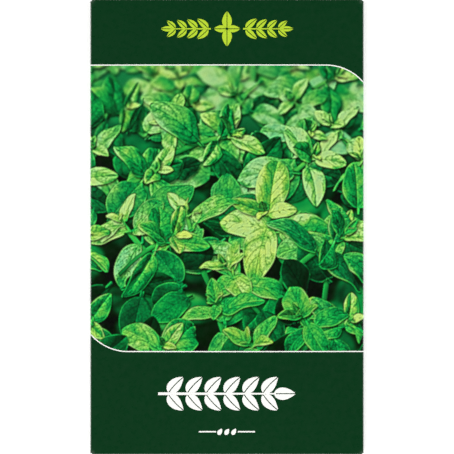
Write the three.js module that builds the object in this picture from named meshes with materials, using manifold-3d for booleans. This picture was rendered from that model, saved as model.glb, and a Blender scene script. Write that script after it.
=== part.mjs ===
// A filled herb-seed packet, lying on its back: a folded paper blank with a seam flap, a bottom flap and a
// closing flap, round a heat-sealed inner sachet that holds the seed. Millimetres, +Z up, +Y towards the
// closing flap. The origin is on the resting plane, under the middle of the packet.
import * as THREE from "three";
import { mergeGeometries, mergeVertices } from "three/addons/utils/BufferGeometryUtils.js";
import Module from "manifold-3d";

const wasm = await Module();
wasm.setup();

// Outer size of the closed packet.
const packetWidth = 84;
const packetHeight = 140;

// Paper and folds.
const paper = 0.12; // thickness of the sheet
const lap = 0.18; // from the middle of one glued layer to the middle of the next
const foldReach = 0.3; // how far a fold's bend reaches out from the flat panels
const foldGap = 0.6; // between the middles of the front and back panels at a fold
const cornerNotch = 0.15; // how far short of each corner the folds stop, which frees them from each other
const bendSteps = 6; // facets round each fold

// Shape of the filled packet.
const bellyRise = 1.3; // how far the middle of the front stands above its folds
const edgeLift = 0.7; // how far the folded edges stand off the table
const restHalfWidth = 22; // half-size of the flat area that the packet rests on
const restHalfHeight = 30;

// Flaps.
const seamFlapWidth = 11;
const seamFlapTrim = 4; // how much shorter the seam flap's free edge is, at each end
const backEdgeInset = 0.9; // the back panel's cut edge stops this far short of the folds
const bottomFlapDepth = 13;
const bottomFlapTaper = 6; // how far each side of a flap runs in between its fold and its free edge
const closingFlapDepth = 18;
const closingFlapTaper = 9;
const flapCorner = 0.3; // share of a flap's depth that its rounded corners take
const flapCornerRun = 0.5; // share of a flap's taper that those corners run in by

// Inner sachet and its seed.
const webThickness = 0.08;
const sachetWidth = 60;
const sachetHeight = 80;
const sealWidth = 6;
const sachetMiddleY = -14; // it lies nearer the bottom of the packet
const sachetRise = 1.9; // how far the front web stands off the back one
const restGap = 0.1; // clearance under a piece that lies on another
const seedBedHalfWidth = 16;
const seedBedHalfHeight = 22;
const seedBedMiddle = 0.75; // depth of the bed that the seeds stand out of, at its middle and at its edge
const seedBedEdge = 0.3;
const seedLength = 0.95;
const seedBreadth = 0.75;
const seedDepth = 0.62;
const seedLift = 0.12; // from the bed's surface up to a seed's middle
const seedTilt = 0.3; // the most that a seed tips out of level, in radians
const seedSpacing = 2.9;
const seedJitter = 0.4; // share of the spacing inside which a seed's place is drawn
const seedsEndAt = 0.93; // share of the bed's size inside which the seeds' middles lie

// Grid lines across and along the packet, its flaps, the sachet's webs and the bed of seed.
const cellsAcross = 14;
const cellsAlong = 20;
const seamFlapCells = 3;
const bottomFlapCells = 2;
const closingFlapCells = 3;
const flapCornerRows = [0.45, 0.12, 0]; // a flap's last rows, as shares of its corner from the free edge
const sachetCellsAcross = 8;
const sachetCellsAlong = 12;
const bedSides = 28;
const bedRings = 5;
const weldStep = 1e-4; // points closer than this are one point

const halfWidth = packetWidth / 2;
const halfHeight = packetHeight / 2;
const panelHalfWidth = halfWidth - paper / 2 - foldReach; // where the front panel ends and a fold begins
const panelHalfHeight = halfHeight - paper / 2 - foldReach;
const innerHalfWidth = panelHalfWidth - cornerNotch; // where the bottom and top folds end
const innerHalfHeight = panelHalfHeight - cornerNotch;

// count + 1 numbers evenly spaced from a to b.
function lines(a, b, count) {
  return Array.from({ length: count + 1 }, (_, i) => a + ((b - a) * i) / count);
}

// How far past the flat resting area a coordinate lies: 0 on it, 1 at the folded edge.
function pastRest(coordinate, restHalf, half) {
  return Math.max(0, (Math.abs(coordinate) - restHalf) / (half - restHalf));
}

// Height of the middle of the back panel: flat where it rests, and lifted towards all four folds.
function backHeight(x, y) {
  const a = pastRest(x, restHalfWidth, halfWidth);
  const b = pastRest(y, restHalfHeight, halfHeight);
  return paper / 2 + edgeLift * (1 - (1 - a * a) * (1 - b * b));
}

// Height of the middle of the front panel: a low pillow that falls to the folds.
function frontHeight(x, y) {
  const u = Math.min(1, Math.abs(x) / panelHalfWidth);
  const v = Math.min(1, Math.abs(y) / panelHalfHeight);
  const rim = paper / 2 + edgeLift + foldGap;
  return rim + bellyRise * (1 - u * u) * (1 - v ** 4);
}

// One surface of points, as a grid of rows: point(i, j) gives [x, y, z]. It turns over where flip is set.
function gridSurface(rows, columns, point, flip = false) {
  const positions = [];
  for (let j = 0; j < rows; j++) {
    for (let i = 0; i < columns; i++) positions.push(...point(i, j));
  }
  const index = [];
  for (let j = 0; j + 1 < rows; j++) {
    for (let i = 0; i + 1 < columns; i++) {
      const a = j * columns + i;
      const b = a + 1;
      const c = a + columns;
      const d = c + 1;
      index.push(...(flip ? [a, c, b, b, c, d] : [a, b, c, b, d, c]));
    }
  }
  const surface = new THREE.BufferGeometry();
  surface.setAttribute("position", new THREE.Float32BufferAttribute(positions, 3));
  surface.setIndex(index);
  return surface;
}

// Gives a connected sheet its thickness: both faces lie half the thickness off it, and a wall round its
// rim joins them.
function thicken(pieces, thickness) {
  const sheet = mergeVertices(mergeGeometries(pieces), weldStep);
  sheet.computeVertexNormals();
  const middle = sheet.getAttribute("position");
  const normal = sheet.getAttribute("normal");
  const count = middle.count;
  const positions = new Float32Array(count * 6);
  const point = new THREE.Vector3();
  const away = new THREE.Vector3();
  for (let i = 0; i < count; i++) {
    away.fromBufferAttribute(normal, i).multiplyScalar(thickness / 2);
    point.fromBufferAttribute(middle, i).add(away).toArray(positions, i * 3);
    point.fromBufferAttribute(middle, i).sub(away).toArray(positions, (count + i) * 3);
  }
  const faces = sheet.index.array;
  const edges = new Set();
  const index = [];
  for (let f = 0; f < faces.length; f += 3) {
    const [a, b, c] = faces.subarray(f, f + 3);
    index.push(a, b, c, count + a, count + c, count + b);
    for (const [from, to] of [[a, b], [b, c], [c, a]]) edges.add(from * count + to);
  }
  for (const edge of edges) {
    const from = Math.floor(edge / count);
    const to = edge % count;
    if (!edges.has(to * count + from)) {
      index.push(from, count + from, to, to, count + from, count + to);
    }
  }
  const solid = new THREE.BufferGeometry();
  solid.setAttribute("position", new THREE.BufferAttribute(positions, 3));
  solid.setIndex(index);
  return solid;
}

// A point of a fold: half an ellipse from the front panel (share 0) round to the layer behind (share 1).
// Returns how far out from the panels it lies, and its height.
function foldPoint(share, frontZ, behindZ) {
  const angle = Math.PI * share;
  return [
    foldReach * Math.sin(angle),
    (frontZ + behindZ) / 2 + ((frontZ - behindZ) / 2) * Math.cos(angle),
  ];
}

// Half the width of a flap at a share of its depth: it tapers, and its free corners are rounded.
function flapHalfWidth(share, taper) {
  const round = Math.max(0, (share - 1 + flapCorner) / flapCorner);
  return innerHalfWidth - taper * share - taper * flapCornerRun * (1 - Math.sqrt(1 - round * round));
}

// The folded blank: one sheet, printed side out.
function packetSheet() {
  const alongInner = lines(-innerHalfHeight, innerHalfHeight, cellsAlong);
  const acrossInner = lines(-innerHalfWidth, innerHalfWidth, cellsAcross);
  const along = [-panelHalfHeight, ...alongInner, panelHalfHeight];
  const across = [-panelHalfWidth, ...acrossInner, panelHalfWidth];
  const front = gridSurface(along.length, across.length, (i, j) => [
    across[i],
    along[j],
    frontHeight(across[i], along[j]),
  ]);

  // Folds at the left and right, from the front panel to the back panel and to the seam flap behind it.
  const sideFold = (side, behind) =>
    gridSurface(
      alongInner.length,
      bendSteps + 1,
      (i, j) => {
        const y = alongInner[j];
        const x = side * panelHalfWidth;
        const [out, z] = foldPoint(i / bendSteps, frontHeight(x, y), backHeight(x, y) + behind);
        return [x + side * out, y, z];
      },
      side < 0,
    );

  // The back panel runs from the left fold almost to the right one.
  const backAcross = [
    -panelHalfWidth,
    ...acrossInner.slice(0, -1),
    panelHalfWidth - backEdgeInset,
  ];
  const back = gridSurface(
    alongInner.length,
    backAcross.length,
    (i, j) => [backAcross[i], alongInner[j], backHeight(backAcross[i], alongInner[j])],
    true,
  );

  // The seam flap lies inside the back panel, and its free edge is trimmed shorter.
  const seamAcross = lines(panelHalfWidth, panelHalfWidth - seamFlapWidth, seamFlapCells);
  const seamFlap = gridSurface(alongInner.length, seamAcross.length, (i, j) => {
    const share = i / (seamAcross.length - 1);
    const y = alongInner[j] * (1 - (seamFlapTrim * share) / innerHalfHeight);
    return [seamAcross[i], y, backHeight(seamAcross[i], y) + lap];
  });

  // The bottom and closing flaps fold over the outside of the back panel.
  const endFlap = (side, depth, taper, cells) => {
    const fold = gridSurface(
      bendSteps + 1,
      acrossInner.length,
      (i, j) => {
        const x = acrossInner[i];
        const y = side * panelHalfHeight;
        const [out, z] = foldPoint(j / bendSteps, frontHeight(x, y), backHeight(x, y) - lap);
        return [x, y + side * out, z];
      },
      side < 0,
    );
    const shares = [
      ...lines(0, 1 - flapCorner, cells),
      ...flapCornerRows.map((row) => 1 - flapCorner * row),
    ];
    const flap = gridSurface(
      shares.length,
      acrossInner.length,
      (i, j) => {
        const x = (acrossInner[i] / innerHalfWidth) * flapHalfWidth(shares[j], taper);
        const y = side * (panelHalfHeight - (depth - foldReach) * shares[j]);
        return [x, y, backHeight(x, y) - lap];
      },
      side < 0,
    );
    return [fold, flap];
  };

  return [
    front,
    sideFold(-1, 0),
    back,
    sideFold(1, lap),
    seamFlap,
    ...endFlap(-1, bottomFlapDepth, bottomFlapTaper, bottomFlapCells),
    ...endFlap(1, closingFlapDepth, closingFlapTaper, closingFlapCells),
  ];
}

// Underside of the sachet, which lies on the packet's back panel.
function sachetBase(x, y) {
  return backHeight(x, y) + paper / 2 + restGap;
}

// How far the sachet's front web stands off its back web: nothing along the sealed rim, and a low dome
// inside it.
function sachetRoom(x, y) {
  const u = Math.min(1, Math.abs(x) / (sachetWidth / 2 - sealWidth));
  const v = Math.min(1, Math.abs(y - sachetMiddleY) / (sachetHeight / 2 - sealWidth));
  return sachetRise * (1 - u ** 4) * (1 - v ** 4);
}

// A closed slab between two heights over a rectangle of grid lines.
function slab(across, along, bottom, top) {
  const face = (height, flip) =>
    gridSurface(
      along.length,
      across.length,
      (i, j) => [across[i], along[j], height(across[i], along[j])],
      flip,
    );
  const wall = (length, place, flip) =>
    gridSurface(
      2,
      length,
      (i, j) => {
        const [x, y] = place(i);
        return [x, y, (j ? top : bottom)(x, y)];
      },
      flip,
    );
  return mergeVertices(
    mergeGeometries([
      face(top, false),
      face(bottom, true),
      wall(across.length, (i) => [across[i], along[0]], false),
      wall(across.length, (i) => [across[i], along.at(-1)], true),
      wall(along.length, (i) => [across[0], along[i]], true),
      wall(along.length, (i) => [across.at(-1), along[i]], false),
    ]),
    weldStep,
  );
}

// One web of the sachet: raise gives how far it stands off the back web's own place.
function sachetWeb(raise) {
  const gridTo = (half, seal, cells, middle) => [
    middle - half,
    ...lines(middle - half + seal, middle + half - seal, cells),
    middle + half,
  ];
  const across = gridTo(sachetWidth / 2, sealWidth, sachetCellsAcross, 0);
  const along = gridTo(sachetHeight / 2, sealWidth, sachetCellsAlong, sachetMiddleY);
  const bottom = (x, y) => sachetBase(x, y) + raise(x, y);
  return slab(across, along, bottom, (x, y) => bottom(x, y) + webThickness);
}

// A manifold solid from a geometry, and back.
function solidOf(geometry) {
  const bare = geometry.clone();
  bare.deleteAttribute("normal");
  bare.deleteAttribute("uv");
  const closed = mergeVertices(bare, weldStep);
  return new wasm.Manifold(
    new wasm.Mesh({
      numProp: 3,
      vertProperties: new Float32Array(closed.getAttribute("position").array),
      triVerts: new Uint32Array(closed.index.array),
    }),
  );
}

function geometryOf(solid) {
  const mesh = solid.getMesh();
  const geometry = new THREE.BufferGeometry();
  geometry.setAttribute("position", new THREE.BufferAttribute(new Float32Array(mesh.vertProperties), 3));
  geometry.setIndex(new THREE.BufferAttribute(new Uint32Array(mesh.triVerts), 1));
  return geometry;
}

// The same run of numbers from 0 to 1 each time, for the seeds' places and turns: a linear congruence.
function seededDraw(seed) {
  const factor = 1664525;
  const step = 1013904223;
  const size = 2 ** 32;
  let state = seed;
  return () => {
    state = (state * factor + step) % size;
    return state / size;
  };
}

// The seed: a low bed, with seeds standing out of it on a jittered triangular lattice.
function seedBed() {
  const floor = backHeight(0, 0) + paper / 2 + restGap + webThickness + restGap;
  const bedDepth = (share) => seedBedEdge + (seedBedMiddle - seedBedEdge) * (1 - share * share);
  const profile = [
    new THREE.Vector2(0, 0),
    new THREE.Vector2(1, 0),
    ...lines(1, 0, bedRings).map((share) => new THREE.Vector2(share, bedDepth(share))),
  ];
  const bed = new THREE.LatheGeometry(profile, bedSides);
  bed.rotateX(Math.PI / 2);
  bed.scale(seedBedHalfWidth, seedBedHalfHeight, 1);
  bed.translate(0, sachetMiddleY, floor);

  const draw = seededDraw(7);
  const spread = (size) => (draw() - 0.5) * size;
  const rowStep = seedSpacing * Math.sqrt(0.75);
  const rows = Math.floor(seedBedHalfHeight / rowStep);
  const columns = Math.floor(seedBedHalfWidth / seedSpacing);
  const seeds = [];
  for (let row = -rows; row <= rows; row++) {
    for (let column = -columns; column <= columns; column++) {
      const x = (column + (row % 2 ? 0.5 : 0)) * seedSpacing + spread(seedSpacing * seedJitter);
      const y = row * rowStep + spread(seedSpacing * seedJitter);
      const share = Math.hypot(x / seedBedHalfWidth, y / seedBedHalfHeight);
      const seed = new THREE.IcosahedronGeometry(0.5, 0);
      seed.scale(seedLength, seedBreadth, seedDepth);
      seed.rotateY(spread(2 * seedTilt));
      seed.rotateZ(spread(2 * Math.PI));
      seed.translate(x, y + sachetMiddleY, floor + bedDepth(share) + seedLift);
      if (share < seedsEndAt) seeds.push(solidOf(seed));
    }
  }
  return geometryOf(wasm.Manifold.union([solidOf(bed), ...seeds]));
}

const packet = new THREE.Group();

// A named piece with its material: paper, laminate and seed are all non-metals.
function addPiece(name, geometry, color, roughness) {
  const material = new THREE.MeshStandardMaterial({ color, roughness, metalness: 0 });
  const piece = new THREE.Mesh(geometry, material);
  piece.name = name;
  packet.add(piece);
}

addPiece("paper_packet", thicken(packetSheet(), paper), 0x123a1f, 0.45);
addPiece("sachet_back_web", sachetWeb(() => 0), 0xe9e7e0, 0.6);
addPiece("sachet_front_web", sachetWeb((x, y) => webThickness + sachetRoom(x, y)), 0xe9e7e0, 0.6);
addPiece("oregano_seed", seedBed(), 0x6b4a2c, 0.8);

export default packet;
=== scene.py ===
import bpy
import numpy as np
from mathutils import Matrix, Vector


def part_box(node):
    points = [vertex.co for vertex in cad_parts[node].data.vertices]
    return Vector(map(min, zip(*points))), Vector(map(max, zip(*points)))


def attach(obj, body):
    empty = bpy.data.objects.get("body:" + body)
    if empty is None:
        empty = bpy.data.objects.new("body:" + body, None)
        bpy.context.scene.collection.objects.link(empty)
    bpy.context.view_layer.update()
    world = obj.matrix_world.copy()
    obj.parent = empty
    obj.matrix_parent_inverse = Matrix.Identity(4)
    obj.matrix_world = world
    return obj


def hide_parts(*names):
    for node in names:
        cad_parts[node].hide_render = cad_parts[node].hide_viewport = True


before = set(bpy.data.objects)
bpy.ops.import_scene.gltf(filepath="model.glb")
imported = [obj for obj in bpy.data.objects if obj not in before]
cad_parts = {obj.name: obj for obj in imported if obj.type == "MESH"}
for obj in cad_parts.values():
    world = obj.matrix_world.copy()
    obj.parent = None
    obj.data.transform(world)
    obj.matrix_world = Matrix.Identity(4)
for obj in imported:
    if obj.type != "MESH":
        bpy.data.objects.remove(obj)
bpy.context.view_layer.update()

mm = 0.001
halfWidth, halfHeight = (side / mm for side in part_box("paper_packet")[1][:2])
weldStep = 1e-4  # mm, points nearer than this are one point


# A bell curve: 1 in its middle, falling off over its width.
def bell(distance, width):
    return np.exp(-((distance / width) ** 2))


# A share of the way from one value to another.
def mixed(first, last, share):
    return first * (1 - share) + last * share


# How far a quarter circle has fallen away at a distance past its start.
def roundOff(past, radius):
    return radius - np.sqrt(radius ** 2 - past ** 2)


# Two square directions, or two coordinates, turned by an angle from the first to the second.
def rotated(a, b, angle):
    return a * np.cos(angle) - b * np.sin(angle), a * np.sin(angle) + b * np.cos(angle)


# Joins grids of points into one sheet. Each patch is (points in rows and columns, whether to turn
# it over). A cell gives two triangles, and points that lie on each other are welded. Gives the
# points, the triangles, and which of the grids' points were kept.
def weldedSheet(patches):
    points = np.concatenate([grid.reshape(-1, 3) for grid, flipped in patches])
    triangles, first = [], 0
    for grid, flipped in patches:
        rows, columns = grid.shape[:2]
        corner = first + (np.arange(rows - 1)[:, None] * columns + np.arange(columns - 1)).ravel()
        square = np.stack([corner, corner + 1, corner + columns + 1, corner + columns], 1)
        if flipped:
            square = square[:, ::-1]
        triangles += [square[:, [0, 1, 2]], square[:, [0, 2, 3]]]
        first += rows * columns
    places = np.round(points / weldStep).astype(np.int64)
    _, kept, place = np.unique(places, axis=0, return_index=True, return_inverse=True)
    triangles = place.ravel()[np.concatenate(triangles)]
    a, b, c = triangles.T
    return points[kept], triangles[(a != b) & (b != c) & (c != a)], kept


# Gives a sheet its thickness: each point moves half of it along its normal, which is the sum of
# its triangles' normals, once out and once in, and a wall joins the two faces along every edge
# that only one triangle has. The outer face's triangles come first.
def thickened(points, triangles, thickness):
    corners = points[triangles]
    faceNormal = np.cross(corners[:, 1] - corners[:, 0], corners[:, 2] - corners[:, 0])
    normal = np.zeros_like(points)
    np.add.at(normal, triangles.ravel(), np.repeat(faceNormal, 3, axis=0))
    normal *= thickness / 2 / np.linalg.norm(normal, axis=1, keepdims=True)
    count = len(points)
    edges = np.concatenate([triangles[:, [0, 1]], triangles[:, [1, 2]], triangles[:, [2, 0]]])
    twin = np.isin(edges[:, 0] * count + edges[:, 1], edges[:, 1] * count + edges[:, 0])
    start, end = edges[~twin].T
    walls = np.concatenate([
        np.stack([start, start + count, end], 1),
        np.stack([end, start + count, end + count], 1),
    ])
    return (
        np.concatenate([points + normal, points - normal]),
        np.concatenate([triangles, triangles[:, ::-1] + count, walls]),
    )


# Puts a mesh, a lamp or a camera into the scene.
def addObject(name, data):
    added = bpy.data.objects.new(name, data)
    bpy.context.scene.collection.objects.link(added)
    return added


# Makes one piece from points in millimetres and triangles of point numbers. kinds gives each
# triangle's material, and an edge whose faces turn by more than sharpFrom, in radians, is shaded
# as a crease.
def makePiece(name, points, triangles, materials, kinds=None, replaces=None, sharpFrom=0.8):
    mesh = bpy.data.meshes.new(name)
    mesh.vertices.add(len(points))
    mesh.vertices.foreach_set("co", (points * mm).astype(np.float32).ravel())
    mesh.loops.add(triangles.size)
    mesh.loops.foreach_set("vertex_index", triangles.astype(np.int32).ravel())
    mesh.polygons.add(len(triangles))
    mesh.polygons.foreach_set("loop_start", np.arange(0, triangles.size, 3, dtype=np.int32))
    mesh.polygons.foreach_set("use_smooth", np.ones(len(triangles), bool))
    if kinds is not None:
        mesh.polygons.foreach_set("material_index", kinds.astype(np.int32))
    for material in materials:
        mesh.materials.append(material)
    mesh.update(calc_edges=True)
    mesh.set_sharp_from_angle(angle=sharpFrom)
    piece = addObject(name, mesh)
    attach(piece, "root")
    if replaces:
        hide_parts(replaces)
    print(f"{name}: {len(triangles)} triangles")
    return piece


# Keeps one number or colour for each point of a piece, for its material to read.
def keepAttribute(piece, name, values):
    colour = values.ndim == 2
    layer = piece.data.attributes.new(name, "FLOAT_COLOR" if colour else "FLOAT", "POINT")
    layer.data.foreach_set("color" if colour else "value", values.astype(np.float32).ravel())


# An sRGB hex colour as three numbers from 0 to 1.
def rgbOf(hexCode):
    return np.array([int(hexCode[k:k + 2], 16) for k in (0, 2, 4)]) / 255


# sRGB as linear light: a straight foot up to 0.04, then a power of 2.4.
def linearOf(colour):
    values = rgbOf(colour) if isinstance(colour, str) else colour
    return np.where(values <= 0.04045, values / 12.92, ((values + 0.055) / 1.055) ** 2.4)


# The same with full cover, as a colour socket takes it.
def opaque(colour):
    return (*linearOf(colour), 1.0)


# Feeds input sockets of a node, each from the output that links gives for it.
def connect(material, node, links):
    for socket, output in links.items():
        material.node_tree.links.new(output, node.inputs[socket])


# Adds a node. settings are its properties or the values of its input sockets, and links are its
# input sockets with the output that feeds each.
def addNode(material, kind, settings=None, links=None):
    node = material.node_tree.nodes.new(kind)
    for name, value in (settings or {}).items():
        if isinstance(name, int) or name in node.inputs:
            node.inputs[name].default_value = value
        else:
            setattr(node, name, value)
    connect(material, node, links or {})
    return node


# Starts a material: its Principled surface with these values, and the piece's own coordinates in
# metres.
def startMaterial(name, values):
    material = bpy.data.materials.new(name)
    material.use_nodes = True
    surface = material.node_tree.nodes["Principled BSDF"]
    for socket, value in values.items():
        surface.inputs[socket].default_value = value
    place = addNode(material, "ShaderNodeTexCoord").outputs["Object"]
    return material, surface, place


# A noise with hills of about size millimetres. It seldom leaves the stretch from 0.3 to 0.7, and
# that is spread to low and high.
def addGrain(material, place, size, low, high, detail=2.0):
    noise = addNode(
        material, "ShaderNodeTexNoise",
        {"Scale": 1 / (size * mm), "Detail": detail, "Roughness": 0.55},
        {"Vector": place},
    )
    return addNode(
        material, "ShaderNodeMapRange",
        {"From Min": 0.3, "From Max": 0.7, "To Min": low, "To Max": high},
        {"Value": noise.outputs["Fac"]},
    ).outputs["Result"]


# A colour with a cloud in it: a fixed one, or an output's, times a noise.
def cloudedColour(material, place, colour, cloud):
    factor = {"Scale": addGrain(material, place, *cloud)}
    fixed = isinstance(colour, np.ndarray)
    settings = {"operation": "SCALE", **({0: colour} if fixed else {})}
    links = factor if fixed else {0: colour, **factor}
    return addNode(material, "ShaderNodeVectorMath", settings, links).outputs["Vector"]


# Gives a surface a fine relief with a slower one below it: a paper's fibres and its cockle, or
# the pits and dents of a seed's skin.
def addRelief(material, surface, place, width, height):
    slower, higher = paperLook["cockle"]
    fine = addGrain(material, place, width, 0.0, 1.0, 3.0)
    slow = addGrain(material, place, width * slower, 0.0, higher)
    both = addNode(material, "ShaderNodeMath", {"operation": "ADD"}, {0: fine, 1: slow})
    relief = addNode(
        material, "ShaderNodeBump",
        {"Strength": 1.0, "Distance": height * mm},
        {"Height": both.outputs["Value"]},
    )
    connect(material, surface, {"Normal": relief.outputs["Normal"]})


paperLook = {
    "field": "063518",  # dark green field; the lamps' sheen lifts it to its printed look
    "rubbed": "8FA894",  # the field where a fold or a corner is rubbed thin
    "lime": "BAD936",
    "leaf": "3F9A45",
    "tint": "CFE0B4",
    "cream": "F4F5EA",
    "white": "FBFBF6",
    "inside": "EFEDE6",
    "gloss": 0.285,  # roughness of the varnish, of bare coated paper and of the uncoated back
    "bare": 0.4,
    "matt": 0.85,
    "rubbedMatt": 1.5,  # roughness that full wear adds
    # width in mm and height in mm of the fibres' relief, drawn coarser than real so that it shows,
    # and how many times wider and higher the slower relief is
    "fibre": (0.22, 0.0017),
    "cockle": (7, 2.2),
    # width in mm, shares of the colour in the darkest and the lightest places, and detail
    "fieldCloud": (6.0, 0.975, 1.025, 4.0),
    "pictureCloud": (0.5, 0.985, 1.015, 3.0),
    "flatCloud": (2.5, 0.975, 1.0, 4.0),
    "rubbedSpots": (0.7, -0.05, 0.32, 3.0),
    # the varnish's uneven patches: width in mm, and how far its roughness falls and rises
    "fieldPatches": (1.6, 0.03, 0.04),
    "picturePatches": (1.6, 0.04, 0.03),
}


# The varnish's roughness, a little lower and higher from patch to patch.
def varnishPatches(material, place, patches):
    width, fall, rise = patches
    return addGrain(material, place, width, paperLook["gloss"] - fall, paperLook["gloss"] + rise)


# Coated paper with a solid of offset ink, satin from its water-based varnish: even and deep, with
# a faint mottle. The ink wears off along the folds, and shows the paper's white there.
def printedField():
    material, surface, place = startMaterial("satin_varnished_green_offset_ink", {})
    ink = cloudedColour(material, place, linearOf(paperLook["field"]), paperLook["fieldCloud"])
    wear = addNode(material, "ShaderNodeAttribute", {"attribute_name": "wear"}).outputs["Fac"]
    worn = addNode(
        material, "ShaderNodeMath",
        {"operation": "MULTIPLY", "use_clamp": True},
        {0: wear, 1: addGrain(material, place, *paperLook["rubbedSpots"])},
    )
    colour = addNode(
        material, "ShaderNodeMix",
        {"data_type": "RGBA", 7: opaque(paperLook["rubbed"])},
        {"Factor": worn.outputs["Value"], 6: ink},
    )
    roughness = addNode(
        material, "ShaderNodeMath",
        {"operation": "MULTIPLY_ADD", 1: paperLook["rubbedMatt"], "use_clamp": True},
        {0: wear, 2: varnishPatches(material, place, paperLook["fieldPatches"])},
    )
    finish = {"Base Color": colour.outputs[2], "Roughness": roughness.outputs["Value"]}
    connect(material, surface, finish)
    addRelief(material, surface, place, *paperLook["fibre"])
    return material


# Process inks of the picture: each point has its own printed colour, under the same satin
# varnish.
def pictureInk():
    material, surface, place = startMaterial("satin_varnished_process_inks", {})
    printed = addNode(material, "ShaderNodeAttribute", {"attribute_name": "printColour"})
    mottled = cloudedColour(material, place, printed.outputs["Color"], paperLook["pictureCloud"])
    roughness = varnishPatches(material, place, paperLook["picturePatches"])
    connect(material, surface, {"Base Color": mottled, "Roughness": roughness})
    addRelief(material, surface, place, *paperLook["fibre"])
    return material


# A flat of one colour on paper: even, with the paper's faint cloud in it.
def flatInk(name, hexCode, roughness, cloud=paperLook["flatCloud"], relief=paperLook["fibre"]):
    material, surface, place = startMaterial(name, {"Roughness": roughness})
    clouded = cloudedColour(material, place, linearOf(hexCode), cloud)
    connect(material, surface, {"Base Color": clouded})
    addRelief(material, surface, place, *relief)
    return material


print("materials")
fieldInk = printedField()
processInk = pictureInk()
limeInk = flatInk("satin_varnished_lime_spot_ink", paperLook["lime"], paperLook["gloss"])
leafInk = flatInk("satin_varnished_leaf_green_ink", paperLook["leaf"], paperLook["gloss"])
tintInk = flatInk("unvarnished_light_green_tint", paperLook["tint"], paperLook["bare"])
paleInk = flatInk("unvarnished_cream_tint", paperLook["cream"], paperLook["bare"])
bareWhite = flatInk("bare_coated_white_paper", paperLook["white"], paperLook["bare"])
# uncoated inside of the sheet and its cut edges: matt and warmer
insidePaper = flatInk("uncoated_paper_back", paperLook["inside"], paperLook["matt"])


packet = {
    "paper": 0.12,  # mm, and down to the flaps all as in the solids
    "lap": 0.18,  # from the middle of one glued layer to the middle of the next
    "foldReach": 0.3,  # how far a fold's bend stands out from the panels
    "foldGap": 0.6,  # from the back panel's middle up to the front's, at the folds
    "cornerNotch": 0.15,
    "bellyRise": 1.3,  # of the front's middle above its folds
    "edgeLift": 0.7,  # of the back's folds above its level middle
    "restHalf": (22.0, 30.0),  # half of that middle, across and along
    "seamFlap": (11.0, 4.0),  # how far it reaches, and how much each of its ends is trimmed
    "backEdgeInset": 0.9,  # from the seam's fold to the back panel's free edge
    "bottomFlap": (13.0, 6.0),  # depth and taper
    "closingFlap": (18.0, 9.0),
    "flapCorner": 0.3,  # share of a flap's depth that its rounded corners take
    "flapCornerDraw": 0.5,  # how far they draw its sides in, as a share of its taper
    "cell": 0.95,  # of the sheet's grid
    "closest": 0.1,  # that a line of the grid comes to the back panel's free edge
    "bendSteps": 10,
    "flapRows": 12,  # along a flap, and round its corners
    "flapCornerRows": 9,
    "pucker": 0.05,  # height of the small folds that fan in from the corners
    "puckerReach": (6.0, 17.0),  # from a corner to where its fan has risen, and to where it fades
    # side, end and number of waves of each corner's fan
    "fans": ((1, 1, 15), (-1, 1, 13), (-1, -1, 14), (1, -1, 16)),
    "swell": 0.05,  # height of the slow hills over the contents
    "swellWaves": ((3.1, 2.3), (2.2, -3.6)),  # radians across and up for each half panel
    "swellShift": 0.6,  # of the first wave, and how far the product of the two is lowered
    "swellDip": 0.3,
    "ridge": (0.05, 1.8),  # height and width of the print-through of the sachet's edge
    # strength, and reach in mm, of the wear of the folds and of the corners
    "foldWear": (0.25, 0.14),
    "cornerWear": (0.75, 0.9),
}
sachet = {
    "half": (30.0, 40.0),  # mm
    "middleY": -14.0,
    "seal": 6.0,  # width of the sealed rim
    "web": 0.08,  # thickness of each web
    "rise": 1.9,  # of the front web over the seed
    "rest": 0.1,  # gap under the back web
    "cell": 0.8,
    "sealSteps": 16,
    "knurl": (0.03, 1.5, 0.6),  # height and pitch of the sealing pattern, and how far it fades in
    "pucker": (0.06, 1.9, 1.6),  # height, and waves in radians for each mm across and along
    "puckerFrom": 8.0,  # how fast the puckers come in, and how fast they fade, as the dome rises
    "puckerFade": 9.0,
    "colour": "E9E6DD",
    "roughness": 0.42,
    "cloud": (1.4, 0.94, 1.0, 4.0),  # as in paperLook
    "fibre": (0.18, 0.003),
}

paper = packet["paper"]
panelX = halfWidth - paper / 2 - packet["foldReach"]
panelY = halfHeight - paper / 2 - packet["foldReach"]
innerX = panelX - packet["cornerNotch"]
innerY = panelY - packet["cornerNotch"]
across = np.linspace(-innerX, innerX, int(round(2 * innerX / packet["cell"])) + 1)
along = np.linspace(-innerY, innerY, int(round(2 * innerY / packet["cell"])) + 1)


# Height of the back panel's middle: level where it rests, and lifted by a square law towards all
# four folds.
def backMiddle(x, y):
    restX, restY = packet["restHalf"]
    a = np.clip((np.abs(x) - restX) / (halfWidth - restX), 0, None)
    b = np.clip((np.abs(y) - restY) / (halfHeight - restY), 0, None)
    return paper / 2 + packet["edgeLift"] * (1 - (1 - a * a) * (1 - b * b))


# How far a point lies outside the sachet's edge, or inside it where this is below nothing.
def pastSachet(x, y):
    halfX, halfY = sachet["half"]
    return np.maximum(np.abs(x) - halfX, np.abs(y - sachet["middleY"]) - halfY)


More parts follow.
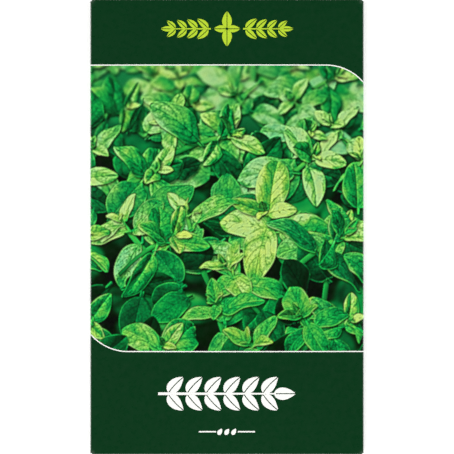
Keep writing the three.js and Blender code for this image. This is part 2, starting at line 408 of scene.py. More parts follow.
# Small relief of the front: waves that fan in from each corner and die away from it, slow hills
# from two crossed waves, and a soft ridge over the sachet's edge. All of it fades out at the
# folds.
def frontRelief(x, y):
    u, v = x / panelX, y / panelY
    fade = np.clip((1 - u ** 8) * (1 - v ** 8), 0, 1)
    (ahead, up), (aheadToo, upToo) = packet["swellWaves"]
    first = np.sin(ahead * u + up * v + packet["swellShift"])
    relief = packet["swell"] * (first * np.cos(aheadToo * u + upToo * v) - packet["swellDip"])
    risen, faded = packet["puckerReach"]
    for sideX, sideY, turns in packet["fans"]:
        inX, inY = panelX - sideX * x, panelY - sideY * y
        away = np.hypot(inX, inY)
        fan = np.cos(turns * np.arctan2(inY, inX) + turns)
        rise = np.exp(-away / faded) * (1 - bell(away, risen))
        relief = relief + packet["pucker"] * fan * rise
    height, width = packet["ridge"]
    return (relief + height * bell(pastSachet(x, y), width)) * fade


# Height of the front panel's middle: a low pillow, square across and of the fourth power along,
# on the folds' height.
def frontMiddle(x, y):
    u, v = np.clip(np.abs(x) / panelX, 0, 1), np.clip(np.abs(y) / panelY, 0, 1)
    rim = paper / 2 + packet["edgeLift"] + packet["foldGap"]
    return rim + packet["bellyRise"] * (1 - u * u) * (1 - v ** 4) + frontRelief(x, y)


# The bend of a fold: half an ellipse from the front (share 0) round to the layer behind (share
# 1). Gives how far it reaches out from the panels, its height, and the part of its outward normal
# in each of those two ways.
def bend(share, frontZ, behindZ):
    angle = np.pi * share
    half = (frontZ - behindZ) / 2
    out, up = half * np.sin(angle), packet["foldReach"] * np.cos(angle)
    length = np.hypot(out, up)
    return (
        packet["foldReach"] * np.sin(angle),
        (frontZ + behindZ) / 2 + half * np.cos(angle),
        out / length,
        up / length,
    )


# A fold down the left or right side: the bend swept along the packet.
def sideFold(side, behind):
    share = np.linspace(0, 1, packet["bendSteps"] + 1)[None, :]
    y = along[:, None] + 0 * share
    x = side * panelX + 0 * y
    out, z, _, _ = bend(share, frontMiddle(x, y), backMiddle(x, y) + behind)
    return np.stack([x + side * out, y, z], -1), side < 0


# The seam flap: it narrows from its fold to its free edge, and follows the back panel one lap
# inside it.
def seamFlap():
    reach, trim = packet["seamFlap"]
    share = np.linspace(0, 1, packet["flapRows"])[None, :]
    x = panelX - reach * share
    y = along[:, None] * (1 - trim * share / innerY)
    x = x + 0 * y
    return np.stack([x, y, backMiddle(x, y) + packet["lap"]], -1), False


# The bottom or closing flap: the bend swept across the packet, then a tongue that tapers evenly,
# with its free corners rounded as a quarter circle, one lap outside the back panel.
def endFlap(side, depth, taper):
    share = np.linspace(0, 1, packet["bendSteps"] + 1)[:, None]
    x = across[None, :] + 0 * share
    y = side * panelY + 0 * x
    out, z, _, _ = bend(share, frontMiddle(x, y), backMiddle(x, y) - packet["lap"])
    fold = np.stack([x, y + side * out, z], -1)
    corner = packet["flapCorner"]
    turn = np.linspace(0, np.pi / 2, packet["flapCornerRows"])
    straight = np.linspace(0, 1 - corner, packet["flapRows"])[:-1]
    share = np.concatenate([straight, 1 - corner + corner * np.sin(turn)])[:, None]
    rounding = np.clip((share - 1 + corner) / corner, 0, 1)
    drawn = taper * packet["flapCornerDraw"] * roundOff(rounding, 1)
    half = innerX - taper * share - drawn
    x = across[None, :] / innerX * half
    y = side * (panelY - (depth - packet["foldReach"]) * share) + 0 * x
    tongue = np.stack([x, y, backMiddle(x, y) - packet["lap"]], -1)
    return [(fold, side < 0), (tongue, side < 0)]


# The whole blank as one sheet, printed side out.
def packetSheet():
    x, y = np.meshgrid(
        np.concatenate([[-panelX], across, [panelX]]), np.concatenate([[-panelY], along, [panelY]])
    )
    front = np.stack([x, y, frontMiddle(x, y)], -1)
    edge = panelX - packet["backEdgeInset"]
    columns = across[across < edge - packet["closest"]]
    x, y = np.meshgrid(np.concatenate([[-panelX], columns, [edge]]), along)
    back = np.stack([x, y, backMiddle(x, y)], -1)
    return [
        (front, False),
        sideFold(-1, 0),
        (back, True),
        sideFold(1, packet["lap"]),
        seamFlap(),
        *endFlap(-1, *packet["bottomFlap"]),
        *endFlap(1, *packet["closingFlap"]),
    ]


# How worn the paper is at each point, from 0 to 1: a bell curve off the folds' outermost line,
# and a wider and stronger one off each corner.
def paperWear(points):
    gapX, gapY = halfWidth - np.abs(points[:, 0]), halfHeight - np.abs(points[:, 1])
    wear = 0
    for name, gap in (("foldWear", np.minimum(gapX, gapY)), ("cornerWear", np.hypot(gapX, gapY))):
        strength, reach = packet[name]
        wear = wear + strength * bell(gap, reach)
    return wear


print("paper packet")
sheetPoints, outerFaces, _ = weldedSheet(packetSheet())
points, triangles = thickened(sheetPoints, outerFaces, paper)
paperPiece = makePiece(
    "packet_paper", points, triangles, [fieldInk, insidePaper],
    kinds=np.arange(len(triangles)) >= len(outerFaces), replaces="paper_packet",
)
keepAttribute(paperPiece, "wear", paperWear(points))


layout = {
    "top": 49.765,  # mm, the two hairlines' straight stretches
    "bottom": -38.255,
    "arc": 15.1,  # radius of the rounded corners, at the top right and the bottom left
    "arcInset": 11.55,  # from the side of the packet to the arc's centre
    "hairline": 0.32,
    "hairlineCell": 0.5,
    "pictureCell": 0.2,
    "bendCells": 10,
    # heights above the paper of the picture, of what lies on the field, and of the hairlines
    "pictureLift": 0.012, "ornamentLift": 0.01, "hairlineLift": 0.018,
    "inkFilm": 0.008,  # thickness of a film of ink, drawn thicker than real
}
bendLength = np.pi * (packet["foldGap"] + paper) / 2  # of the printed face round a side fold


# A point of the flat artwork, u across and v up, laid on the front and on round the side folds,
# lift above the paper.
def onFront(u, v, lift):
    u, v = np.broadcast_arrays(np.asarray(u, float), np.asarray(v, float))
    side = np.sign(u)
    x = np.clip(u, -panelX, panelX)
    behind = backMiddle(x, v) + np.where(side > 0, packet["lap"], 0.0)
    share = np.clip((np.abs(u) - panelX) / bendLength, 0, 1)
    out, z, normalOut, normalUp = bend(share, frontMiddle(x, v), behind)
    above = paper / 2 + lift
    return np.stack([x + side * (out + above * normalOut), v, z + above * normalUp], -1)


# A point of the back's artwork, lift below the back panel's printed face.
def onBack(x, y, lift):
    return np.stack([x, y, backMiddle(x, y) - paper / 2 - lift], -1)


# The panel's outline across the sheet: straight, then a quarter circle that falls away towards
# one side.
def panelTop(u):
    past = np.clip(u - halfWidth + layout["arcInset"], 0, layout["arc"])
    return layout["top"] - roundOff(past, layout["arc"])


# The same line turned half round about the panel's middle.
def panelBottom(u):
    return layout["bottom"] + layout["top"] - panelTop(-u)


# Even steps over the flat front, with finer steps round the side folds.
def acrossSheet(step):
    flat = np.linspace(-panelX, panelX, int(round(2 * panelX / step)) + 1)
    bent = np.linspace(0, bendLength, layout["bendCells"] + 1)[1:]
    return np.concatenate([-panelX - bent[::-1], flat, panelX + bent])


# A thin film of ink over patches of flat artwork: (u, v) grids, each laid on the front or the
# back by lay, half the film's thickness above lift. The back's are seen from below.
def printShapes(name, shapes, lay, lift, ink):
    middle = lift + layout["inkFilm"] / 2
    patches = [(lay(grid[..., 0], grid[..., 1], middle), lay is onBack) for grid in shapes]
    points, triangles = thickened(*weldedSheet(patches)[:2], layout["inkFilm"])
    makePiece(name, points, triangles, [ink])


# A line of even width along a curve: each point moves half the width to both sides, square to the
# curve.
def ribbon(u, v, width):
    way = np.stack([np.gradient(u), np.gradient(v)], -1)
    way /= np.linalg.norm(way, axis=1, keepdims=True)
    square = np.stack([-way[:, 1], way[:, 0]], -1)
    middle = np.stack([u, v], -1)
    return np.stack([middle + square * width * share for share in (-0.5, 0.5)])


# Half-width of an ovate leaf along its length, with its widest place before the middle: a power
# of the way from the stalk times a power of the way from the tip, scaled to 1.
def ovate(s, tip, stalk=0.6):
    widest = stalk / (stalk + tip)
    return (s / widest) ** stalk * ((1 - s) / (1 - widest)) ** tip


# A printed leaf as two half blades on either side of a bare midrib. Its middle line leaves base
# at an angle and turns evenly by curve on its way to the tip. Steps are closest at both ends.
def leafShape(base, angle, length, breadth, midrib, curve=0.0, steps=22, tip=0.95, columns=3):
    s = 0.5 - 0.5 * np.cos(np.linspace(0, np.pi, steps))
    way = angle + curve * s
    run = np.stack([np.cos(way), np.sin(way)], 1)
    middle = np.array(base) + length * np.concatenate([
        [[0.0, 0.0]], ((run[1:] + run[:-1]) / 2 * np.diff(s)[:, None]).cumsum(0)
    ])
    square = np.stack([-np.sin(way), np.cos(way)], 1)
    half = np.maximum(length * breadth / 2 * ovate(s, tip), midrib / 2)
    halves = []
    for side in (-1, 1):
        near = middle + square * side * midrib / 2
        far = middle + square * (side * half)[:, None]
        low, high = (near, far) if side > 0 else (far, near)
        halves.append(np.stack([low + (high - low) * k / columns for k in range(columns + 1)]))
    return halves


# A straight stalk that loses the share thinning of its width evenly on its way.
def stalkShape(start, end, width, thinning=0.45, steps=24):
    s = np.linspace(0, 1, steps)[:, None]
    run = np.array(end) - np.array(start)
    square = np.array([-run[1], run[0]]) / np.linalg.norm(run)
    half = width / 2 * (1 - thinning * s)
    return np.stack([np.array(start) + run * s + square * half * side for side in (-1, 1)])


foliage = {
    "cell": 0.1,  # mm, one cell of the painting
    "left": -43.4, "right": 43.4, "bottom": -39.6, "top": 51.2,
    "seed": 11,
    "light": (-0.42, 0.62, 0.66),  # towards the painted sun: left, up, out of the paper
    "deep": ("030B05", "0A331B"),  # the dark ground, from its darkest places to its lightest
    "deepHills": ((90, 0.6), (35, 0.4)),  # width in cells and weight of each of its clouds
    "deepBlur": 5,  # cells
    # foliage too far off to tell, which fills the gaps near the top: colour, share of the
    # picture's height where it starts and over which it would come in, and its most cover
    "distance": ("1E8A4A", 0.66, 0.2, 0.85),
    # a leaf's green from deep shade to full sun, and the shade from 0 to 1 that each stands at
    "ramp": ("04140A", "075026", "0A863C", "1CA646", "4FB446", "75BE51", "8FC666", "A9D388"),
    "rampAt": (0.0, 0.13, 0.28, 0.45, 0.62, 0.77, 0.89, 1.0),
    # what a leaf near the tip leans to, and one far down the stem: sign of its warmth, colour, its
    # brightness in shade and what full sun adds, and the furthest that a leaf leans
    "leans": ((1, "D9DC3E", 0.25, 0.8, 0.5), (-1, "04714A", 0.3, 1.1, 0.55)),
    "blotchSide": 640,  # cells of the field that leaves take their blotches from
    "blotchSeed": 3,
    "blotchHills": ((30, 0.8), (12, 0.9), (5.5, 1.0), (2.6, 1.0)),
    "margin": 16,  # cells round a leaf for its shadow, the shadow's blur, and how far it falls
    "shadowBlur": 3,
    "shadowFall": (-6, 3),
    # leaves of the ground: their number, length, light, rim and detail
    "underLeaves": (120, 12, 0.5, 0.3, 0.4),
    # rows of shoots from far to near: height on the picture, leaf length, gap between shoots,
    # light on the shoots, light and number of the leaves under them, and softening
    "rows": (
        (52, 12.0, 11.0, 1.28, 1.55, 12, 1),
        (46, 13.0, 14.0, 1.34, 1.55, 13, 3),
        (39, 14.0, 16.5, 1.36, 1.45, 13, 2),
        (29, 15.5, 19.5, 1.34, 1.12, 14, 1),
        (17, 17.5, 22.0, 1.33, 0.94, 14, 1),
        (5, 19.0, 24.0, 1.30, 0.84, 13, 0),
        (-8, 18.5, 24.0, 1.19, 0.60, 10, 0),
        (-20, 18.0, 24.5, 1.03, 0.39, 7, 0),
        (-32, 17.5, 23.0, 0.94, 0.29, 6, 0),
        (-44, 16.5, 22.0, 0.90, 0.27, 5, 0),
    ),
    "nearRow": 5,  # the first row with full rims and detail; farther ones fade towards farRow
    "farRow": 0.6,
    "past": (5, 6),  # mm, how far the rows run on past the left and right sides
    "rowShift": 3,  # mm, the most that a row's start is moved
    # spread of a shoot's place across, as a share of the gap, of its height and of its size
    "spreads": (0.2, 0.26, 0.12),
    # leaves under a row: how far below and above it, length as a share, rim and detail
    "between": (14, 2, 0.9, 0.6, 0.7),
    # pairs of leaves from the tip down: place under the tip and length, as shares of the longest
    # leaf, and lean
    "pairs": ((0.0, 0.30, 0.35), (0.10, 0.55, 0.75), (0.32, 0.86, 1.12), (0.66, 1.0, 1.38)),
    "slant": (0.13, -0.4, 0.9),  # a way that no shoot points, to measure its pairs' turn from
    # how much the finished picture's edges are strengthened, over how many cells, and the
    # brightness below which that eases off
    "crispness": (5.4, 2, 0.15),
    # the varnish's sheen lifts every colour a little, so the inks are laid deeper by as much
    "inkDepth": 0.945,
    "veil": 0.005,
    "black": 0.0006,  # the deepest that the four inks print
}
cell = foliage["cell"]
paintColumns = int(round((foliage["right"] - foliage["left"]) / cell))
paintRows = int(round((foliage["top"] - foliage["bottom"]) / cell))


# A vector over its own length.
def unitOf(vector):
    return np.asarray(vector, float) / np.linalg.norm(vector)


# Blurs a picture: two running means over 2 reach + 1 cells along each axis, from differences of
# running totals.
def blurred(values, reach):
    for axis in (0, 1):
        for _ in range(2):
            pad = [(0, 0)] * values.ndim
            pad[axis] = (reach + 1, reach)
            total = np.pad(values, pad, mode="edge").cumsum(axis=axis)
            ahead = np.take(total, np.arange(2 * reach + 1, total.shape[axis]), axis=axis)
            behind = np.take(total, np.arange(total.shape[axis] - 2 * reach - 1), axis=axis)
            values = (ahead - behind) / (2 * reach + 1)
    return values


# Mixes the four cells of a grid at a row and a column and just after them, by how far each point
# has gone on towards the later ones.
def mixedCells(grid, row, column, shareY, shareX):
    low = mixed(grid[row, column], grid[row, column + 1], shareX)
    high = mixed(grid[row + 1, column], grid[row + 1, column + 1], shareX)
    return mixed(low, high, shareY)


# Smooth random hills from 0 to 1: random heights on a lattice, eased from one to the next by 3t
# squared - 2t cubed.
def hills(shape, period, draw):
    lattice = draw.random((int(shape[0] / period) + 3, int(shape[1] / period) + 3))
    y, x = np.arange(shape[0])[:, None] / period, np.arange(shape[1]) / period
    row, column = y.astype(int), x.astype(int)
    eases = (t * t * (3 - 2 * t) for t in (y - row, x - column))
    return mixedCells(lattice, row, column, *eases)


blotchSide = foliage["blotchSide"]
blotchDraw = np.random.default_rng(foliage["blotchSeed"])
blotches = sum(
    weight * (hills((blotchSide, blotchSide), period, blotchDraw) - 0.5)
    for period, weight in foliage["blotchHills"]
)
ramp = np.array([rgbOf(stop) for stop in foliage["ramp"]])
sun = unitOf(foliage["light"])
glint = unitOf(sun + np.array([0, 0, 1.0]))


# A leaf's colour for its shade from 0 to 1: along the ramp, then leant to the young or the old
# green by its warmth.
def leafColour(shade, warmth):
    shade = np.clip(shade, 0, 1)
    colour = np.stack([np.interp(shade, foliage["rampAt"], ramp[:, k]) for k in range(3)], -1)
    for sign, hexCode, dark, gain, most in foliage["leans"]:
        lean = np.clip(sign * warmth, 0, 1)[..., None]
        target = rgbOf(hexCode) * (dark + gain * shade[..., None])
        colour = colour + (target - colour) * most * lean
    return colour


# Sets a surface's points into the painting, the nearest last, over a soft shadow of itself that
# falls down and right.
def paintPoints(painting, x, y, z, colour, shadow):
    column = np.floor((x - foliage["left"]) / cell).astype(int).ravel()
    row = np.floor((y - foliage["bottom"]) / cell).astype(int).ravel()
    margin = foliage["margin"]
    left, low = column.min() - margin, row.min() - margin
    width, height = column.max() + margin + 1 - left, row.max() + margin + 1 - low
    fromX, toX = max(0, left), min(paintColumns, left + width)
    fromY, toY = max(0, low), min(paintRows, low + height)
    if toX - fromX < 1 or toY - fromY < 1:
        return
    order = np.argsort(z.ravel(), kind="stable")
    tile, mask = np.zeros((height, width, 3)), np.zeros((height, width))
    at = (row[order] - low, column[order] - left)
    tile[at] = colour.reshape(-1, 3)[order]
    mask[at] = 1
    seen = (slice(fromY - low, toY - low), slice(fromX - left, toX - left))
    shade = np.roll(blurred(mask, foliage["shadowBlur"]), foliage["shadowFall"], (0, 1))
    cover = mask[seen][..., None]
    under = painting[fromY:toY, fromX:toX] * (1 - shadow * shade[seen][..., None])
    painting[fromY:toY, fromX:toX] = mixed(under, tile[seen], cover)


# How every painted leaf is built, marked and lit. A leaf's mark is its own random number from 0
# to 1, which shifts its ruffle, veins and blotches.
blade = {
    "along": 1.45, "across": 1.6,  # points for each cell of the painting, and the fewest
    "fewest": (14, 10),
    "stalk": 0.09,  # share of a leaf's length that is stalk
    "stalkShown": (0.115, 0.085),  # how far the stalk's width holds, and its share of the blade's
    "leastCurl": 0.01,
    "ruffle": (0.05, 11, 6),  # height as a share of the width, and waves along a leaf and by mark
    "ruffleFrom": 0.3,  # mm, half-width of a blade that is ruffled
    "turnDown": (0.45, 2.5, 0.25),  # of the edges: strength, power, and angle over the fold
    "foldedIn": 0.8,  # share of the fold that draws the blade in
    "veinGap": 0.2,  # share of the length from one side vein to the next
    "veinSlant": (0.34, 1.3),  # how far a vein runs ahead on its way to the edge, and its power
    "veinWander": (0.05, 9, 5, 20),  # strength, and waves along, across and by mark
    "vein": (0.07, 0.85),  # its width as a share of the gap, and how far it reaches out
    "midribWidth": 0.17,  # mm
    "paleMidribs": 0.3,  # share of the leaves whose midrib is pale, its strength, and a dark one's
    "midribs": (0.18, -0.24),
    "blotchStep": 0.8,  # steps of the blotches' field for each cell
    "blotchStarts": (3000, 7000),  # how far a leaf's mark shifts them, along and across
    "lights": (0.09, 0.58, 0.26, 0.32),  # from the sky, the sun, through the blade, and a glint
    "glintPower": 10,
    "foot": (0.7, 0.4),  # light left at a leaf's foot, and share of the length that it takes
    "marks": (0.04, 0.15, 0.13),  # strength of the swell between veins, the veins and the blotches
    "marksInShade": 0.35,  # their strength where the sun doesn't reach, and from where they show
    "marksFrom": 0.1,
    "underside": (0.8, 0.12),  # share of the shade that is left, and what is added
    "warmed": (0.4, 0.25, 0.5),  # by blotches and by light through the blade, and cooled in shade
    "rim": (0.15, 0.45, 0.85),  # its width and least half-width of a blade, in mm, and strength
    "rimShade": (1.2, 0.2),  # of the blade's shade, and what is added
    "rimWarmth": 0.15,
    "shadow": 0.5,
}


# The surface of one painted leaf, over s from its foot to its tip and t from edge to edge. Its
# middle line starts at base, leans from the stem's axis towards radial, and curls evenly, so it
# is the integral of a turning direction. Across it the blade folds up from the midrib and turns
# down at its edges. Gives s, t, its half-width, its points, and the normals of its upper face.
def bladeSurface(base, axis, radial, length, leaf):
    width, fold = length * leaf["breadth"], leaf["fold"]
    rows, columns = blade["fewest"]
    s = np.linspace(0, 1, max(rows, int(length / cell * blade["along"])))[:, None]
    t = np.linspace(-1, 1, max(columns, int(width / cell * blade["across"])))[None, :]
    lean, curl = leaf["lean"], max(leaf["curl"], blade["leastCurl"])
    angle = lean + curl * s
    up = length * (np.sin(angle) - np.sin(lean)) / curl
    out = length * (np.cos(lean) - np.cos(angle)) / curl
    outline = ovate(np.clip((s - blade["stalk"]) / (1 - blade["stalk"]), 0, 1), leaf["tip"])
    stalkEnd, stalkWidth = blade["stalkShown"]
    half = width / 2 * np.where(s < stalkEnd, stalkWidth, outline)
    face = np.sin(angle)[..., None] * axis - np.cos(angle)[..., None] * radial
    above, acrossLeaf = rotated(face, np.cross(axis, radial), leaf["twist"] * s[..., None])
    edge = np.abs(t)
    height, waves, shift = blade["ruffle"]
    ruffle = height * width * np.sin(s * waves + shift * leaf["mark"]) * edge ** 2
    strength, power, more = blade["turnDown"]
    lift = half * (edge * np.sin(fold) - strength * edge ** power * np.sin(fold + more))
    lift = lift + ruffle * (half > blade["ruffleFrom"])
    place = (
        base + up[..., None] * axis + out[..., None] * radial
        + (t * half * np.cos(fold * blade["foldedIn"]))[..., None] * acrossLeaf
        + lift[..., None] * above
    )
    normal = np.cross(np.gradient(place, axis=0), np.gradient(place, axis=1))
    normal /= np.linalg.norm(normal, axis=-1, keepdims=True) + 1e-9
    normal = np.where(np.sum(normal * above, -1, keepdims=True) < 0, -normal, normal)
    return s, t, half, place, normal


# The colour of one painted leaf. Its shade is the sun's angle, light through the blade and a
# broad glint, less towards its foot, with veins, a midrib and blotches. A pale rim lies over it.
def bladeColour(s, t, half, normal, length, leaf):
    mark, edge = leaf["mark"], np.abs(t)
    underside = normal[..., 2] < 0
    normal = np.where(underside[..., None], -normal, normal)
    wander, down, over, shift = blade["veinWander"]
    wander = wander * np.sin(down * s + over * t + shift * mark)
    slant, power = blade["veinSlant"]
    phase = (s - slant * edge ** power + wander) / blade["veinGap"] % 1 - 0.5
    width, reach = blade["vein"]
    vein = bell(np.abs(phase) - 0.5, width) * (edge < reach)
    midrib = bell(t * half, blade["midribWidth"])
    blotch = blotches[tuple(
        (int(mark * start) + way / cell * blade["blotchStep"]).astype(int) % blotchSide
        for start, way in zip(blade["blotchStarts"], (s * length, t * half))
    )]
    facing = np.sum(normal * sun, -1)
    lit, through = np.clip(facing, 0, 1), np.clip(-facing, 0, 1)
    shine = np.clip(np.sum(normal * glint, -1), 0, 1) ** blade["glintPower"]
    sky, direct, backlight, shining = blade["lights"]
    shade = sky + direct * lit + backlight * through + shining * shine
    dimmed, reach = blade["foot"]
    shade = shade * (dimmed + (1 - dimmed) * np.clip(s / reach, 0, 1))
    swell, veined, blotched = blade["marks"]
    relief = swell * np.cos(phase * 2 * np.pi) - veined * vein + blotched * blotch
    relief = (blade["marksInShade"] + lit) * relief * (s > blade["marksFrom"])
    ribbed = blade["midribs"][0 if mark < blade["paleMidribs"] else 1]
    shade = shade + leaf["detail"] * relief + leaf["detail"] * ribbed * midrib
    kept, added = blade["underside"]
    shade = np.where(underside, kept * shade + added, shade) * leaf["light"]
    byBlotch, byLight, inShade = blade["warmed"]
    warmth = leaf["warmth"] + byBlotch * blotch + byLight * through
    colour = leafColour(shade, warmth - inShade * np.clip(0.5 - shade, 0, 1))
    rimWidth, rimFrom, strength = blade["rim"]
    rim = bell((1 - edge) * half, rimWidth) * (half > rimFrom)
    gain, added = blade["rimShade"]
    pale = leafColour(np.clip(gain * shade + added, 0, 1), blade["rimWarmth"] + 0 * shade)
    return colour + (pale - colour) * (rim * strength * leaf["rim"])[..., None]


# Paints one leaf.
def paintLeaf(painting, base, axis, radial, length, leaf):
    s, t, half, place, normal = bladeSurface(base, axis, radial, length, leaf)
    colour = bladeColour(s, t, half, normal, length, leaf)
    paintPoints(painting, *np.moveaxis(place, -1, 0), colour, blade["shadow"])


stem = {
    "along": 1.5, "across": 1.7,  # points for each cell of the painting, and the fewest across
    "fewest": 5,
    "width": 0.07, "light": 0.8,  # as shares of the shoot's size and light
    "below": 1.1,  # how far its foot lies under the lowest pair, in leaf lengths
    "bow": 0.04,  # of its length
    "foot": 0.35,  # light left at its foot
    "middle": 0.62,  # shade down its middle, how much it turns with the light, and at its edges
    "turned": 0.3,
    "edges": 0.25,
    "fromSide": (0.6, 0.5),  # the light's share from the left and from above
    "warmth": 0.3,
    "shadow": 0.4,
}


# Paints a stem: a strip that bows a little, rounded by its shade.
def paintStem(painting, foot, tip, width, light):
    length = np.linalg.norm(tip - foot)
    s = np.linspace(0, 1, int(length / cell * stem["along"]) + 2)[:, None]
    t = np.linspace(-1, 1, max(stem["fewest"], int(width / cell * stem["across"])))[None, :]
    way = unitOf((tip - foot)[:2])
    bow = stem["bow"] * length * np.sin(np.pi * s)
    x = foot[0] + (tip - foot)[0] * s - way[1] * (t * width / 2 + bow)
    y = foot[1] + (tip - foot)[1] * s + way[0] * (t * width / 2 + bow)
    left, above = stem["fromSide"]
    turned = stem["turned"] * t * (above * way[1] + left * way[0])
    rounding = stem["middle"] + turned - stem["edges"] * t * t
    shade = light * (stem["foot"] + (1 - stem["foot"]) * s) * rounding
    colour = leafColour(shade, stem["warmth"] + 0 * shade)
    paintPoints(painting, x, y, 0 * x, colour, stem["shadow"])


# Paints a shoot from its lowest pair of leaves to its tip. Each pair stands a quarter turn round
# from the last, and of a pair the leaf that points away comes first. A normal draw's two numbers
# are its middle and its spread, and level counts the pairs from the tip down.
def paintShoot(painting, x, y, size, row, draw):
    tilt, sway = draw.normal(0.9, 0.22), draw.normal(0, 0.42)
    axis = unitOf([np.sin(sway), np.cos(tilt), np.sin(tilt)])
    first = unitOf(np.cross(axis, foliage["slant"]))
    second = np.cross(axis, first)
    turn, warmth, glow = draw.random() * np.pi, draw.normal(0.05, 0.16), draw.normal(1, 0.1)
    tip = np.array([x, y, 0.0])
    pairs = foliage["pairs"]
    foot = tip - axis * size * (pairs[-1][0] + stem["below"])
    paintStem(painting, foot, tip, stem["width"] * size, row["light"] * stem["light"])
    for level, (down, share, lean) in reversed(list(enumerate(pairs))):
        ways = turn + level * np.pi / 2 + np.array([0, np.pi]) + draw.normal(0, 0.14, 2)
        radials = [np.cos(way) * first + np.sin(way) * second for way in ways]
        for radial in sorted(radials, key=lambda r: r[2]):
            leaf = {
                "breadth": draw.normal(0.51, 0.06),
                "lean": draw.normal(lean, 0.16),
                "curl": draw.normal(0.3 + 0.28 * level, 0.22),
                "fold": draw.normal(0.62 - 0.09 * level, 0.12),
                "twist": draw.normal(0, 0.32),
                "tip": 0.68 + 0.18 * draw.random(),
                "light": row["light"] * glow * (1.1 - 0.1 * level) * draw.normal(1, 0.09),
                "warmth": draw.normal(warmth + 0.55 - 0.30 * level, 0.1),
                "mark": draw.random(),
                "rim": row["rim"],
                "detail": row["detail"],
            }
            length = size * share * draw.normal(1, 0.1)
            paintLeaf(painting, tip - axis * size * down, axis, radial, length, leaf)


# Paints a leaf of the undergrowth, which lies any way round between two heights of the picture.
def paintStray(painting, low, high, length, light, rim, detail, draw):
    way = draw.random() * 2 * np.pi
    radial = unitOf([np.cos(way), np.sin(way) * 0.7, draw.normal(0.1, 0.35)])
    axis = unitOf(np.cross(radial, [-np.sin(way), np.cos(way), draw.normal(0, 0.5)]))
    axis = axis if axis[2] > 0 else -axis
    x = foliage["left"] + draw.random() * (foliage["right"] - foliage["left"])
    y = low + draw.random() * (high - low)
    leaf = {
        "breadth": 0.6,
        "lean": 1.4,
        "curl": draw.normal(0.3, 0.4),
        "fold": 0.3,
        "twist": draw.normal(0, 0.4),
        "tip": 0.75,
        "light": light * draw.normal(1, 0.2),
        "warmth": draw.normal(-0.35, 0.2),
        "mark": draw.random(),
        "rim": rim,
        "detail": detail,
    }
    length = length * draw.normal(1, 0.15)
    paintLeaf(painting, np.array([x, y, 0.0]), axis, radial, length, leaf)


# Crisps a picture's edges: each cell is brightened or darkened by how far it stands out from its
# surroundings, and no further than its hue stays the same.
def crisped(painting):
    strength, reach, floor = foliage["crispness"]
    bright = painting.mean(-1, keepdims=True)
    gain = 1 + strength * (bright - blurred(bright, reach)) / (bright + floor)
    return painting * np.clip(gain, 0, 1 / painting.max(-1, keepdims=True))


# The whole picture, from the dark ground up: deep leaves out of focus and an even green distance,
# then rows of shoots from far to near, each after its undergrowth. A far row is softened, as it is
# behind the picture's sharp depth.
def paintFoliage():
    draw = np.random.default_rng(foliage["seed"])
    shape = (paintRows, paintColumns)
    depth = sum(weight * hills(shape, width, draw) for width, weight in foliage["deepHills"])
    painting = mixed(*(rgbOf(green) for green in foliage["deep"]), depth[..., None])
    count, *look = foliage["underLeaves"]
    for _ in range(count):
        paintStray(painting, foliage["bottom"], foliage["top"], *look, draw)
    painting = blurred(painting, foliage["deepBlur"])
    height = (np.arange(paintRows) / paintRows)[:, None, None]
    green, start, rise, most = foliage["distance"]
    painting = mixed(painting, rgbOf(green), np.clip((height - start) / rise, 0, most))
    left, right = foliage["left"] - foliage["past"][0], foliage["right"] + foliage["past"][1]
    below, above, share, rim, detail = foliage["between"]
    sideways, upwards, sizes = foliage["spreads"]
    for index, values in enumerate(foliage["rows"]):
        y, size, gap, light, underLight, underCount, softening = values
        sharp = foliage["farRow"] + (1 - foliage["farRow"]) * min(index / foliage["nearRow"], 1)
        row = {"light": light, "rim": sharp, "detail": sharp}
        for _ in range(underCount):
            paintStray(painting, y - below, y + above, size * share, underLight, rim, detail, draw)
        start = left + index % 2 * gap / 2 + draw.random() * foliage["rowShift"]
        x = np.arange(start, right, gap)
        x = x + draw.normal(0, gap * sideways, x.size)
        heights = draw.normal(y, size * upwards, x.size)
        for k in np.argsort(-heights):
            paintShoot(painting, x[k], heights[k], size * draw.normal(1, sizes), row, draw)
        if softening:
            painting = blurred(painting, softening)
    printed = linearOf(crisped(painting)) * foliage["inkDepth"] - foliage["veil"]
    return np.maximum(printed, foliage["black"])


# The painting's colour at points of the artwork, mixed from the four cells round each. A point
# past the last cell's middle stops just short of it.
def paintingAt(painting, u, v):
    x = np.clip((u - foliage["left"]) / cell - 0.5, 0, paintColumns - 1.001)
    y = np.clip((v - foliage["bottom"]) / cell - 0.5, 0, paintRows - 1.001)
    row, column = y.astype(int), x.astype(int)
    return mixedCells(painting, row, column, (y - row)[..., None], (x - column)[..., None])


print("painting the picture")
painting = blurred(paintFoliage(), 1)
columnsAt = acrossSheet(layout["pictureCell"])
rowCount = int(round((layout["top"] - layout["bottom"]) / layout["pictureCell"]))
middleRow = rowCount // 2
for name, first, last in (
    ("picture_print_lower", 0, middleRow),
    ("picture_print_upper", middleRow, rowCount),
):
    share = (np.arange(first, last + 1) / rowCount)[:, None]
    u = columnsAt[None, :] + 0 * share
    v = mixed(panelBottom(u), panelTop(u), share)
    # the picture is ink alone, so it is one sheet with no thickness of its own
    points, triangles, kept = weldedSheet([(onFront(u, v, layout["pictureLift"]), False)])
    colours = paintingAt(painting, u, v).reshape(-1, 3)[kept]
    piece = makePiece(name, points, triangles, [processInk])
    keepAttribute(piece, "printColour", np.concatenate([colours, np.ones((len(kept), 1))], 1))

print("hairlines and ornaments")
fine = acrossSheet(layout["hairlineCell"])
lines = [ribbon(fine, edge(fine), layout["hairline"]) for edge in (panelTop, panelBottom)]
printShapes("hairlines_print", lines, onFront, layout["hairlineLift"], bareWhite)


